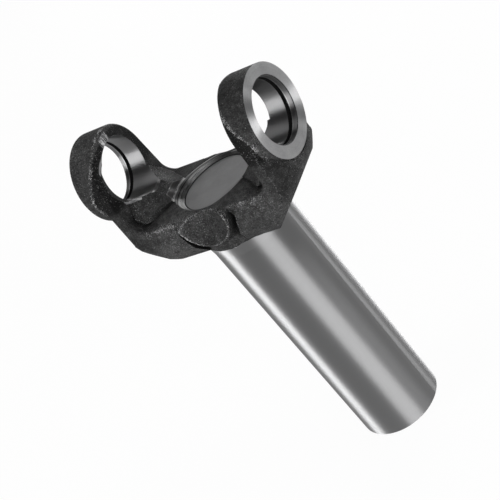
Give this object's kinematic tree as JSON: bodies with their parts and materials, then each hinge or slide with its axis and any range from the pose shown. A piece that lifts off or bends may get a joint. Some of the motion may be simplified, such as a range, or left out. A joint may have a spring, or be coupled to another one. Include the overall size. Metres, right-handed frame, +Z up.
{
  "type": "slip yoke",
  "caption": "Forged yoke head with two bored eyes on a round internally splined sleeve, closed by a pressed-in disc plug.",
  "frame": {"origin": "centre of the sleeve's open end face", "axes": "+Z up the sleeve towards the eyes, X along the common axis of the two eyes, Y across the saddle"},
  "size_m": [0.1028, 0.0528, 0.2032],
  "materials": {
    "forged_steel": "rough forged scale on the head, ground bright on the sleeve, bores and eye faces",
    "plug_steel": "satin"
  },
  "bodies": {
    "root": {"slip_yoke": "forged_steel", "expansion_plug": "plug_steel"}
  },
  "joints": []
}
